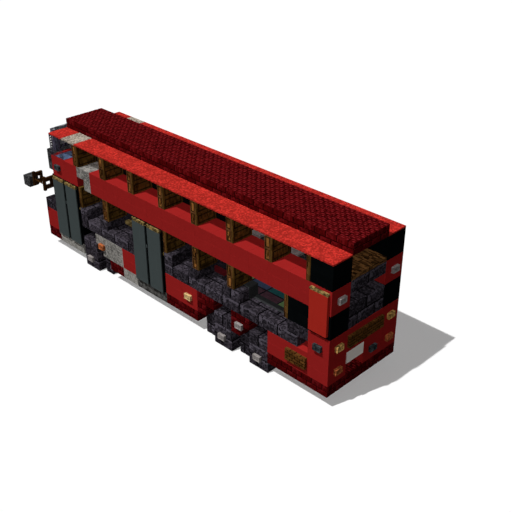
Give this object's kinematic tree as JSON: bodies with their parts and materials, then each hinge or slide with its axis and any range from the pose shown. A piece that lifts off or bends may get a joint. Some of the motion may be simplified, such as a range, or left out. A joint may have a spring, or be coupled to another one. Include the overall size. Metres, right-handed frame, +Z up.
{
  "type": "block-built double-decker bus",
  "caption": "Double-decker bus put together from big square blocks, with swinging doors, a stair, steered front wheels and open windows.",
  "frame": {"origin": "on the floor under the middle of the bus", "axes": "+X forward, +Y to the bus's left, +Z up"},
  "size_m": [11.7338, 3.465, 4.0949],
  "materials": {
    "dark_red_brick": "rough fired brick",
    "light_stone": "speckled stone",
    "patterned_stone": "patterned stone",
    "red_paint": "matt paint",
    "stone_brick": "rough dark stone brick",
    "black": "matt",
    "charcoal": "matt",
    "red_felt": "felt",
    "pale_felt": "felt",
    "brown_wood": "carved boards",
    "pale_plate": "plain plate",
    "slate": "flat slate grey",
    "tan": "mottled",
    "orange": "lamp lens",
    "pale_yellow": "lamp lens",
    "glass": "tinted",
    "floor": "worn covering",
    "steel": "forged and painted",
    "chassis": "black paint",
    "iron": "cast",
    "tyre": "rubber"
  },
  "bodies": {
    "bus_body": {"brick_skirts": "dark_red_brick", "brick_arch_blocks": "dark_red_brick", "roof_slab": "dark_red_brick", "light_stone_panels": "light_stone", "light_sills": "light_stone", "grey_buttons": "light_stone", "patterned_sill": "patterned_stone", "red_side_panels": "red_paint", "red_end_panels": "red_paint", "red_deck_band": "red_paint", "rear_hanging_panels": "red_paint", "stone_arch_steps": "stone_brick", "stone_waist_row": "stone_brick", "lower_seats": "stone_brick", "rear_stone_tiers": "stone_brick", "rear_wheel_covers": "stone_brick", "staircase": "stone_brick", "black_corner_blocks": "black", "black_frames": "black", "dark_buttons": "black", "front_blind_box": "charcoal", "mirror_heads": "charcoal", "driver_seat": "charcoal", "upper_benches": "charcoal", "felt_roof_strips": "red_felt", "pale_felt_strips": "pale_felt", "wood_window_posts": "brown_wood", "rear_wood_shelf": "brown_wood", "mirror_arms": "brown_wood", "plank_signs": "brown_wood", "blank_plates": "pale_plate", "header_bars": "tan", "orange_lamps": "orange", "yellow_lamps": "pale_yellow", "glass_panes": "glass", "lower_floor": "floor", "upper_floor": "floor", "axles": "steel", "underframe": "chassis", "steering_wheel": "chassis", "engine": "iron"},
    "left_knuckle": {"left_knuckle": "steel", "left_front_wheel_cover": "stone_brick"},
    "right_knuckle": {"right_knuckle": "steel", "right_front_wheel_cover": "stone_brick"},
    "front_door_rear_leaf": {"front_door_rear_leaf": "slate"},
    "front_door_front_leaf": {"front_door_front_leaf": "slate"},
    "centre_door_rear_leaf": {"centre_door_rear_leaf": "slate"},
    "centre_door_front_leaf": {"centre_door_front_leaf": "slate"},
    "front_left_wheel": {"front_left_wheel": "tyre"},
    "front_right_wheel": {"front_right_wheel": "tyre"},
    "middle_left_wheel": {"middle_left_wheel": "tyre"},
    "middle_right_wheel": {"middle_right_wheel": "tyre"},
    "rear_left_wheel": {"rear_left_wheel": "tyre"},
    "rear_right_wheel": {"rear_right_wheel": "tyre"}
  },
  "joints": [
    {"name": "left_steering", "type": "hinge", "parent": "bus_body", "child": "left_knuckle", "pos_m": [3.34687, 1.0836, 0.3087], "axis": [0, 0, 1], "range_deg": [-35, 35]},
    {"name": "front_left_wheel_spin", "type": "hinge", "parent": "left_knuckle", "child": "front_left_wheel", "pos_m": [3.34687, 1.0458, 0.3087], "axis": [0, 1, 0], "continuous": true},
    {"name": "middle_left_wheel_spin", "type": "hinge", "parent": "bus_body", "child": "middle_left_wheel", "pos_m": [-2.32313, 0.945, 0.3087], "axis": [0, 1, 0], "continuous": true},
    {"name": "rear_left_wheel_spin", "type": "hinge", "parent": "bus_body", "child": "rear_left_wheel", "pos_m": [-3.58312, 0.945, 0.3087], "axis": [0, 1, 0], "continuous": true},
    {"name": "right_steering", "type": "hinge", "parent": "bus_body", "child": "right_knuckle", "pos_m": [3.34687, -1.0836, 0.3087], "axis": [0, 0, 1], "range_deg": [-35, 35]},
    {"name": "front_right_wheel_spin", "type": "hinge", "parent": "right_knuckle", "child": "front_right_wheel", "pos_m": [3.34687, -1.0458, 0.3087], "axis": [0, 1, 0], "continuous": true},
    {"name": "middle_right_wheel_spin", "type": "hinge", "parent": "bus_body", "child": "middle_right_wheel", "pos_m": [-2.32313, -0.945, 0.3087], "axis": [0, 1, 0], "continuous": true},
    {"name": "rear_right_wheel_spin", "type": "hinge", "parent": "bus_body", "child": "rear_right_wheel", "pos_m": [-3.58312, -0.945, 0.3087], "axis": [0, 1, 0], "continuous": true},
    {"name": "front_door_rear_leaf_hinge", "type": "hinge", "parent": "bus_body", "child": "front_door_rear_leaf", "pos_m": [3.72487, 1.2915, 1.575], "axis": [0, 0, 1], "range_deg": [0, 90]},
    {"name": "front_door_front_leaf_hinge", "type": "hinge", "parent": "bus_body", "child": "front_door_front_leaf", "pos_m": [4.85887, 1.2915, 1.575], "axis": [0, 0, -1], "range_deg": [0, 90]},
    {"name": "centre_door_rear_leaf_hinge", "type": "hinge", "parent": "bus_body", "child": "centre_door_rear_leaf", "pos_m": [-0.05513, 1.2915, 1.575], "axis": [0, 0, 1], "range_deg": [0, 90]},
    {"name": "centre_door_front_leaf_hinge", "type": "hinge", "parent": "bus_body", "child": "centre_door_front_leaf", "pos_m": [1.07888, 1.2915, 1.575], "axis": [0, 0, -1], "range_deg": [0, 90]}
  ],
  "couplings": [
    {"joint": "right_steering", "follows": "left_steering", "ratio": 1}
  ]
}
